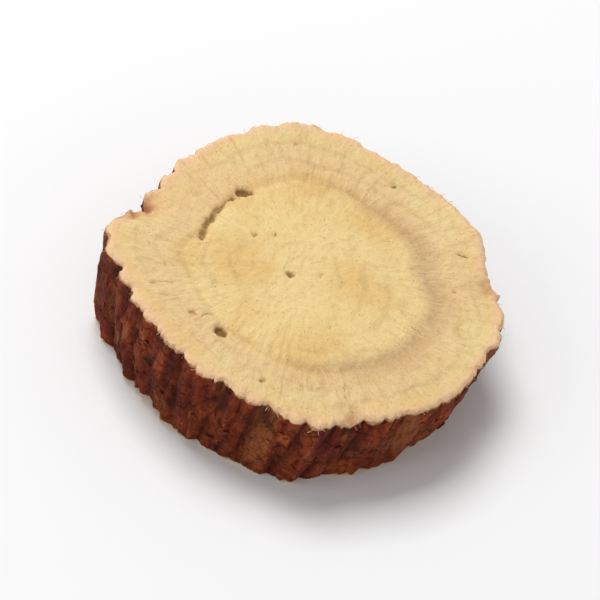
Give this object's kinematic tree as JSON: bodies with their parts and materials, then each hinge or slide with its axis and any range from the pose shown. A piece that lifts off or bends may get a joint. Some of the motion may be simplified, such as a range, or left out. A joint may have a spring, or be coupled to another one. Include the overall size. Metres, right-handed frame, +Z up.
{
  "type": "licorice root slice",
  "caption": "Dried licorice root cut straight across: cream wood and inner bark with a cambium ring, in wrinkled red-brown bark.",
  "frame": {"origin": "under the middle of the slice, on the surface it lies on", "axes": "+Z up, along the root's own axis; +X towards the sharp corner of the rim; -Y towards the viewer of the picture"},
  "size_m": [0.0178, 0.0168, 0.0049],
  "materials": {
    "cut_root": "matt, fibrous cut across the grain, cream yellow with fine rays and rings",
    "bark": "dry cork, red-brown, wrinkled along the root, with a slight sheen on its ridges"
  },
  "bodies": {
    "root": {"licorice_slice": "cut_root"}
  },
  "joints": []
}
